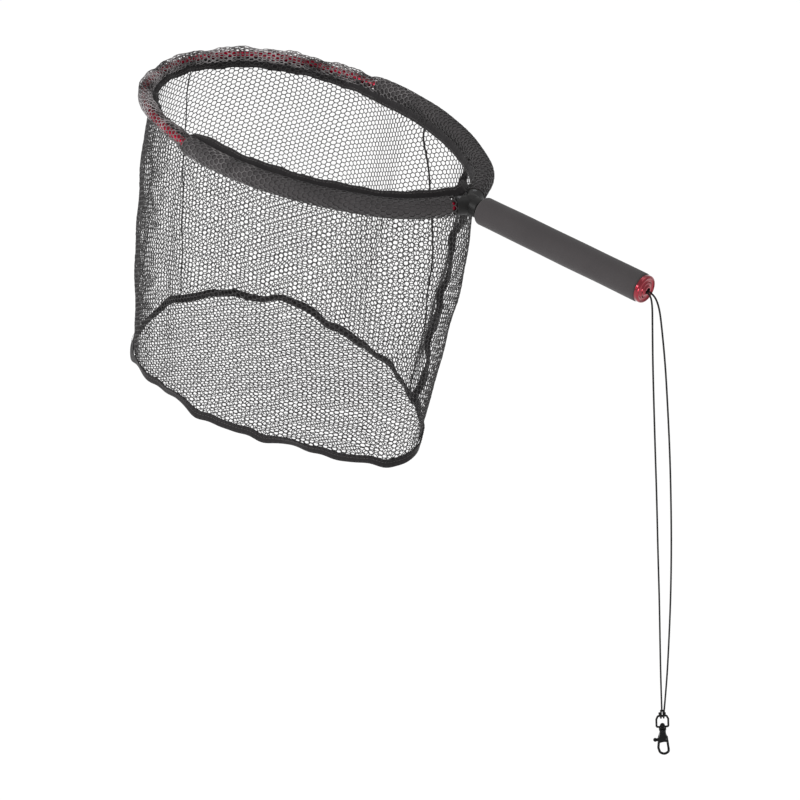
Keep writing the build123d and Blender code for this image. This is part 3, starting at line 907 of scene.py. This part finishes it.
# ------------------------------------------------------------------ the bag
@dataclass
class Bag:
    """The hanging net: a wall that billows under the hoop, a flat bottom and its bindings."""

    wardrobe: Wardrobe
    strands: Tree
    sewing: Tree
    net: HexNet
    depth: float = 376.0
    top_z: float = 3.0
    inset: float = 12.0
    tape_width: float = 11.0
    tape_thickness: float = 2.4
    thread_line: float = 1.2    # the thickness of a narrow seam
    billow: float = 6.5         # how far the wall bellies out
    pleat: float = 11.0         # how deep the two pleats are
    pleat_turn: float = 0.17    # and how far apart, in turns
    wall_round: float = 1245.0  # the wall's length round the hoop
    spin: float = -0.035        # how far the rows of mesh turn about the bag on their way down, in turns
    unevenness: float = 0.16    # how far each knot strays
    seed: int = 11
    # how far the bottom's edge rises at places round it, from the tip by the far side: lowest under the nose
    edge_rise: tuple = ((0, 10), (0.035, 8), (0.07, 12), (0.1, 1), (0.14, 8), (0.18, 2), (0.22, -2), (0.35, -4),
                        (0.4, 0), (0.45, -4), (0.5, -18), (0.53, -15), (0.57, -5), (0.61, -1), (0.7, -3), (0.8, 3),
                        (0.9, 0), (0.96, 3), (1, 10))

    def rise(self, around: Array) -> Array:
        """How far the bottom's edge rises above its level, softened between its high and low places."""
        places, heights = np.array(self.edge_rise).T
        near = np.mod(np.asarray(around, float)[..., None] + np.linspace(-0.012, 0.012, 5), 1.0)
        return np.interp(near, places, heights).mean(-1)

    def rim_drop(self, around: Array) -> Array:
        """How low the wall starts: beside the tape's foot on the arms, lower at the bare tip."""
        tip = np.minimum(np.mod(around, 1.0), 1 - np.mod(around, 1.0))
        return self.top_z - 8.0 * (1 - ease(tip, 0.13, 0.19))

    def wall(self, around: Array, down: Array) -> Array:
        """The wall's surface.

        Args:
            around: from 0 at the tip by the far side to 1 at the tip again.
            down: from 0 at the hoop to 1 at the bottom.
        Returns:
            Points.
        """
        around, down = np.broadcast_arrays(np.asarray(around, float), np.asarray(down, float))
        top, out = HOOP.around(-self.inset, around)
        low, low_out = BASE.around(-1.0, around)
        flat = top * (1 - down)[..., None] + low * down[..., None]
        way = out * (1 - down)[..., None] + low_out * down[..., None]
        tip = np.minimum(around, 1 - around)
        billow = self.billow + 2.0 * bump_at(tip, 0, 0.10) + 2.0 * bump_at(around, 0.455, 0.07)
        shape = np.sin(pi * np.clip(down, 0, 1) ** 0.62) ** 1.2
        slack = np.sin(pi * np.clip(down, 0, 1))
        push = billow * shape
        push += ripple(around + 0.02 * down, [(1.6, 9, 0.6), (1.2, 15, 2.4), (0.8, 26, 1.1)]) * slack
        push += ripple(down + 0.4 * around, [(1.0, 2.2, 0.3), (0.7, 4.6, 2.1)]) * slack
        # two deep pleats on the far side, where the spare cloth is gathered at the hoop
        pleat = (ease(around, 0.13, 0.2) * (1 - ease(around, 0.36, 0.43))
                 * ease(down, 0, 0.1) * (1 - ease(down, 0.7, 1)))
        push += self.pleat * pleat * np.cos(tau * (around - 0.2 + 0.02 * down) / self.pleat_turn)
        flat = flat + way * push[..., None]
        z = (self.rim_drop(around) * (1 - down) - (self.depth - 2) * down
             + self.rise(around) * np.clip(down, 0, 1) ** 1.5)
        return np.concatenate([flat, z[..., None]], -1)

    def walls(self) -> dict[Side, Piece]:
        """The wall's two halves.

        Returns:
            Each side's piece.
        """
        lines = 2 * round(self.wall_round / (1.5 * self.net.edge()) / 2)
        across, along, strands = self.net.hung(lines, round((self.depth + 4) / (self.net.pitch / 2)))
        knots = self.wall(np.mod(across + self.spin * along + ripple(along, [(0.0012, 2.1, 0.4)]), 1.0), along)
        knots = knots + np.random.default_rng(self.seed).normal(0, self.unevenness, knots.shape)
        middle = knots[strands].mean(1)[:, 1]
        pieces = {}
        for side, chosen in ((Side.FAR, middle >= 0), (Side.NEAR, middle < 0)):
            piece = self.net.laid(side.label("mesh_wall"), knots, strands[chosen], self.wardrobe.net, self.strands)
            seat(piece, side.label("net_wall"))
            pieces[side] = piece
        return pieces

    def bottom(self) -> Piece:
        """The flat bottom, cut to the base's outline.

        Returns:
            The piece.
        """
        side = self.net.edge()
        outline, _ = BASE.around(-1.5, np.linspace(0, 1, 1200, endpoint=False))
        low, high = outline.min(0) - 10, outline.max(0) + 10
        k, m, lean, ahead, index = self.net.lattice(int((high[1] - low[1]) / (1.5 * side)) + 1,
                                                    int(2 * (high[0] - low[0]) / self.net.pitch) + 1)
        spots = np.stack([low[0] + m * self.net.pitch / 2, low[1] + 1.5 * side * k + lean * side], -1).reshape(-1, 2)
        zigzag = np.stack([index[:, :-1], index[:, 1:]], -1).reshape(-1, 2)
        strands = np.concatenate([zigzag, np.stack([index[:-1][ahead[:-1]], index[1:][ahead[:-1]]], -1)])
        inside = self.inside(spots, outline)
        strands = strands[inside[strands].any(1)]
        for i in np.unique(strands[~inside[strands]]):       # the cut ends are sewn into the edge
            spots[i] = outline[np.argmin(((outline - spots[i]) ** 2).sum(1))]
        strands = strands[np.linalg.norm(spots[strands[:, 0]] - spots[strands[:, 1]], axis=1) > 0.8]
        apart = np.linalg.norm(spots[:, None] - outline[None, ::8], axis=2)
        z = (-self.depth + 1.5 + self.bottom_wave(spots)
             + self.rise(apart.argmin(1) * 8 / len(outline)) * np.exp(-apart.min(1) / 45))
        knots = np.concatenate([spots, z[:, None]], 1)
        piece = self.net.laid("mesh_bottom", knots, strands, self.wardrobe.net, self.strands)
        seat(piece, "net_base")
        return piece

    @staticmethod
    def inside(spots: Array, outline: Array) -> Array:
        """Which points lie inside a closed outline."""
        following = np.roll(outline, -1, 0)
        result = np.zeros(len(spots), bool)
        for (ax, ay), (bx, by) in zip(outline, following):
            if ay != by:
                result ^= ((ay > spots[:, 1]) != (by > spots[:, 1])) & \
                          (spots[:, 0] < (bx - ax) * (spots[:, 1] - ay) / (by - ay) + ax)
        return result

    def bottom_wave(self, spots: Array) -> Array:
        """How the bottom's cloth rises and falls."""
        x, y = spots.T
        return 1.4 * np.sin(x / 31 + 0.5) * np.cos(y / 27) + 0.8 * np.sin((x + y) / 17)

    def edge_binding(self) -> list[Piece]:
        """The binding round the bottom's edge, puckered by its stitches.

        Returns:
            The tape and its stitches.
        """
        at = np.linspace(0, 1, 420, endpoint=False)
        flat, out = BASE.around(1.2, at)
        sway = ripple(at, [(1.2, 7, 0.4), (0.9, 12, 1.9), (0.7, 23, 0.2)])
        rise = ripple(at, [(1.0, 6, 2.2), (1.2, 13, 0.7), (1.0, 22, 1.5), (0.5, 37, 0.9)])
        line = np.concatenate([flat + out * sway[:, None], (-self.depth + 2.5 + rise + self.rise(at))[:, None]], 1)
        lean = ripple(at, [(0.25, 5, 1.0), (0.18, 13, 0.3)])
        across = np.concatenate([out * lean[:, None], np.ones((len(at), 1))], 1)
        tape = ribbon("bottom_binding", line, across, self.tape_width, self.tape_thickness, self.wardrobe.tape,
                      closed=True)
        seat(tape, "base_tape")
        seam = line + np.concatenate([out * 1.5, np.full((len(at), 1), 2.2)], 1)
        return [tape, stitch_row("bottom_stitches", seam, self.sewing, self.wardrobe.thread, closed=True)]

    def seam(self, name: str, node: str | None, top_at: float, low_at: float, width: float,
             sway: float) -> Piece:
        """A tape down the wall that closes it.

        Args:
            name: the piece's name.
            node: the CAD node that it stands for.
            top_at: where round the wall it starts.
            low_at: where it ends at the bottom.
            width: the tape's width.
            sway: how far it strays to either side, in turns.
        Returns:
            The tape. A wide one stands into the bag on the two edges that it binds.
        """
        down = np.linspace(0.004, 0.985, 90)
        stray = sway * ripple(down, [(0.6, 3.2, 3.4), (0.4, 5.1, 2.0)])
        at = np.mod(top_at + (low_at - top_at) * down + stray, 1.0)
        line = self.wall(at, down)
        across = self.wall(at + 0.004, down) - self.wall(at - 0.004, down)
        wide = width > self.tape_width / 2
        if wide:
            across = unit(across)
            inward = unit(np.cross(np.gradient(line, axis=0), across))
            inward *= np.sign(((line.mean(0) - [-400, 0, line[:, 2].mean()]) * -inward).sum(1, keepdims=True))
            lean = 0.35 + ripple(down, [(0.35, 2.6, 1.2), (0.25, 5.3, 0.4)])
            across = inward * np.cos(lean)[:, None] + across * np.sin(lean)[:, None]
            line = line + across * (1.5 - ripple(down, [(3.2, 4.8, 1.05), (1.4, 9.1, 0.3)]))[:, None]
        thickness = self.tape_thickness if wide else self.thread_line
        tape = ribbon(name, line, across, width, thickness, self.wardrobe.tape)
        seat(tape, node)
        return tape


# ------------------------------------------------------------------ handle and lanyard
@dataclass
class Grip:
    """The foam grip on the handle tube."""

    wardrobe: Wardrobe
    length: float = 240.0
    radius: float = 17.2
    bore: float = 9.0
    rounding: float = 3.0

    def build(self) -> Piece:
        """The foam, turned and sanded, with rounded ends.

        Returns:
            The piece.
        """
        half = self.length / 2
        corner = [(half - self.rounding + self.rounding * sin(a),
                   self.radius - self.rounding + self.rounding * cos(a)) for a in np.linspace(0, pi / 2, 7)]
        body = np.linspace(-half + self.rounding + 2, half - self.rounding - 2, 120)
        outer = [(-x, r) for x, r in reversed(corner)] + [(x, self.radius) for x in body] + corner
        profile = [(-half, self.bore)] + outer + [(half, self.bore)]
        turn = np.linspace(0, tau, 72, endpoint=False)
        rings = []
        for x, r in profile:
            worn = 0.10 * np.sin(2 * turn + x / 40) + 0.07 * np.sin(5 * turn - x / 21) + 0.08 * sin(x / 13)
            reach = r + (worn if r > self.radius - 0.5 else 0 * turn)
            rings.append(np.stack([np.full_like(turn, x), np.cos(turn) * reach, np.sin(turn) * reach], 1))
        piece = skin_rings("eva_grip", np.array(rings), self.wardrobe.grip, True, False)
        seat(piece, "grip_foam")
        return piece


@dataclass
class Lanyard:
    """The doubled cord from the butt to the clip, and its hitch."""

    wardrobe: Wardrobe
    radius: float = 1.1
    clip_at: tuple[float, float, float] = (201.2, 68.4, -606.0)
    clip_turn: float = 43.0
    clip_lean: float = 9.3      # the net is held tilted, so the lanyard hangs at this angle to -Z
    far_leg: tuple = ((112, 1.3, 0), (131, 1.9, -0.3), (139, 8.8, -16), (145, 15.9, -54), (151.6, 22.1, -95),
                      (158.2, 28.2, -142), (167, 36.5, -208), (175.4, 44.3, -278), (183.2, 51.7, -350),
                      (190.2, 58.2, -424), (196.1, 63.9, -500), (200, 67.4, -555), (202.3, 69.3, -599))
    near_leg: tuple = ((112, -1.3, 0), (129.5, -1.2, -0.5), (134.1, 1.9, -12.5), (136.1, 6.6, -44), (141, 12.4, -95),
                       (146.7, 17.3, -142), (154.6, 25.1, -210), (163.1, 32.7, -279), (171.3, 40.8, -352),
                       (180.2, 48.7, -425), (188.5, 57.1, -502), (194.7, 62.6, -555), (200.1, 67.5, -599))
    # the hitch, in the clip's own frame: down in front of the bar, round it, and across over both legs
    hitch_half: tuple = ((1.42, 0, 9), (1.42, -0.1, 6), (1.5, -1.6, 3.4), (1.6, -2.9, 1.2), (1.7, -2.6, -1.6),
                         (1.9, 0, -3.0), (2.3, 2.6, -1.5), (2.8, 2.9, 1.5), (3.5, 1.4, 4.0), (3.7, -1.6, 4.6),
                         (2.6, -3.9, 3.6), (1.0, -4.6, 3.0))

    def curve(self, name: str, points: list, radius: float) -> Piece:
        """A smooth round cord on the given control points.

        Args:
            name: the curve's name.
            points: control points.
            radius: the cord's radius.
        Returns:
            The curve object.
        """
        data = bpy.data.curves.new(name, "CURVE")
        data.dimensions = "3D"
        data.resolution_u = 8
        data.bevel_depth = radius * MM
        data.bevel_resolution = 3
        data.use_fill_caps = True
        spline = data.splines.new("NURBS")
        spline.points.add(len(points) - 1)
        for point, (x, y, z) in zip(spline.points, points):
            point.co = (x * MM, y * MM, z * MM, 1)
        spline.order_u = 3
        spline.use_endpoint_u = True
        data.materials.append(self.wardrobe.cord)
        return new_object(name, data)

    def hitch(self) -> Piece:
        """The cow hitch on the bow's top bar.

        Returns:
            The piece, as a mesh.
        """
        c, s = cos(radians(self.clip_turn)), sin(radians(self.clip_turn))
        level, tilt = cos(radians(self.clip_lean)), sin(radians(self.clip_lean))
        own = list(self.hitch_half) + [(-x, y, z) for x, y, z in reversed(self.hitch_half)]
        own = [(x * level - z * tilt, y, x * tilt + z * level) for x, y, z in own]
        at = self.clip_at
        points = [(at[0] + x * c - y * s, at[1] + x * s + y * c, at[2] + z) for x, y, z in own]
        bent = self.curve("hitch_line", points, self.radius * 1.02)
        mesh = bpy.data.meshes.new_from_object(bent.evaluated_get(bpy.context.evaluated_depsgraph_get()))
        bpy.data.objects.remove(bent)
        mesh.shade_smooth()
        piece = new_object("cow_hitch", mesh)
        seat(piece, "lanyard_hitch")
        return piece

    def build(self) -> None:
        """Both legs, and the hitch that they end in."""
        hitch = self.hitch()
        clip = [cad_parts[n] for n in ("swivel_bow", "swivel_post", "snap_hook", "trigger_gate", "trigger_pin",
                                            "trigger_spring")]
        for side, route, length, pieces in ((Side.FAR, self.far_leg, 0.6262, [hitch, *clip]),
                                            (Side.NEAR, self.near_leg, 0.6231, [hitch])):
            leg = self.curve(side.label("cord_leg"), list(route), self.radius)
            seat(leg, side.label("lanyard_leg"))


# ------------------------------------------------------------------ studio
@dataclass
class Studio:
    """Camera, lights and floor, in metres but for the lens and the floor's reach."""

    wardrobe: Wardrobe
    eye: tuple[float, float, float] = (1.3938, -1.9046, 1.2277)
    right: tuple[float, float, float] = (0.728, 0.681, 0.079)
    down: tuple[float, float, float] = (0.409, -0.339, -0.848)
    lens: float = 103.5
    floor_z: float = -0.95
    floor_reach: float = 12000.0
    sky_strength: float = 0.62

    @staticmethod
    def turned(x: Array, y: Array, spot: tuple[float, float, float]) -> Matrix:
        """The matrix that turns an object's own X and Y to the given directions and puts it at a spot."""
        return Matrix(np.vstack([np.column_stack([x, y, np.cross(x, y), spot]), [0, 0, 0, 1]]).tolist())

    def camera(self) -> None:
        """The camera, on a long lens."""
        x, y = unit(np.array(self.right)), -np.array(self.down)
        y = unit(y - x * (x @ y))
        data = bpy.data.cameras.new("camera")
        data.lens, data.sensor_width, data.clip_end = self.lens, 36.0, 60
        camera = new_object("camera", data)
        camera.matrix_world = self.turned(x, y, self.eye)
        bpy.context.scene.camera = camera

    def lamp(self, name: str, spot: tuple, target: tuple, size: float, power: float) -> None:
        """A soft square light that faces a target.

        Args:
            name: the light's name.
            spot: where it is, in metres.
            target: what it faces.
            size: its width.
            power: its watts.
        """
        data = bpy.data.lights.new(name, "AREA")
        data.size, data.energy = size, power
        back = unit(np.array(spot, float) - np.array(target, float))
        x = unit(np.cross(UP, back))
        new_object(name, data).matrix_world = self.turned(x, np.cross(back, x), spot)

    def build(self) -> None:
        """Sets up the whole studio."""
        self.camera()
        middle = (-0.2, 0.0, -0.25)
        self.lamp("key", (-2.2, -2.3, 0.9), middle, 1.5, 48)
        self.lamp("low_fill", (1.9, -2.25, 0.1), (0.1, 0, -0.1), 0.9, 24)
        self.lamp("top", (-0.3, 0.5, 2.6), middle, 2.2, 14)
        world = bpy.data.worlds.new("soft_white")
        world.use_nodes = True
        sky = world.node_tree.nodes["Background"]
        sky.inputs["Color"].default_value = (1, 1, 1, 1)
        sky.inputs["Strength"].default_value = self.sky_strength
        bpy.context.scene.world = world
        bpy.context.scene.view_settings.view_transform = "Standard"
        corners = np.array([[x * self.floor_reach, y * self.floor_reach, self.floor_z / MM]
                            for x, y in ((-1, -1), (1, -1), (1, 1), (-1, 1))])
        mesh_piece("studio_floor", corners, [(0, 1, 2, 3)], self.wardrobe.floor)


def dress_nodes(wardrobe: Wardrobe) -> None:
    """Gives the carried-over solids their finishes.

    Args:
        wardrobe: the finishes.
    """
    finishes = {"hoop_tube": wardrobe.tube, "handle_tube": wardrobe.tube, "butt_cap": wardrobe.cap,
                "throat_block": wardrobe.nylon, "throat_pins": wardrobe.steel, "stopper_knot": wardrobe.cord,
                "swivel_bow": wardrobe.clip, "swivel_post": wardrobe.clip, "snap_hook": wardrobe.clip,
                "trigger_gate": wardrobe.clip, "trigger_pin": wardrobe.steel, "trigger_spring": wardrobe.steel}
    for name, finish in finishes.items():
        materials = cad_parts[name].data.materials
        materials.clear()
        materials.append(finish)
        log.info("dressed %s", name)


def main() -> None:
    """Builds the net's looks, piece by piece."""
    wardrobe = Wardrobe()
    strands, sewing = strand_tree(), stitch_tree()
    Studio(wardrobe).build()
    Lanyard(wardrobe).build()
    log.info("lanyard laid")
    dress_nodes(wardrobe)
    Grip(wardrobe).build()
    net = HexNet()
    hoop = HoopDressing(wardrobe, strands, sewing)
    for arm in (FAR_ARM, NEAR_ARM):
        hoop.foam(arm)
        hoop.fold(arm, net)
        log.info("arm dressed: %s", arm.side.name)
    binding = hoop.binding()
    bag = Bag(wardrobe, strands, sewing, net)
    walls = bag.walls()
    seams = [bag.seam("wall_end_tape", "end_seam_tape", 0.409, 0.412, 10.0, 0.006),
             bag.seam("wall_side_seam", "side_seam", 0.305, 0.385, 2.4, 0.002),
             bag.seam("wall_tip_seam", None, 0.008, 0.016, 1.2, 0.001)]
    bottom, edge = bag.bottom(), bag.edge_binding()
    for side, sewn_on in ((Side.FAR, [*seams, *binding]), (Side.NEAR, [])):
        surface_of(walls[side]) / 2
    surface_of(bottom) / 2
    for piece in (*walls.values(), bottom, *seams, *edge, *binding):
        log.info("%s: %d faces", piece.name, len(piece.data.polygons))


if __name__ == "__main__":
    main()
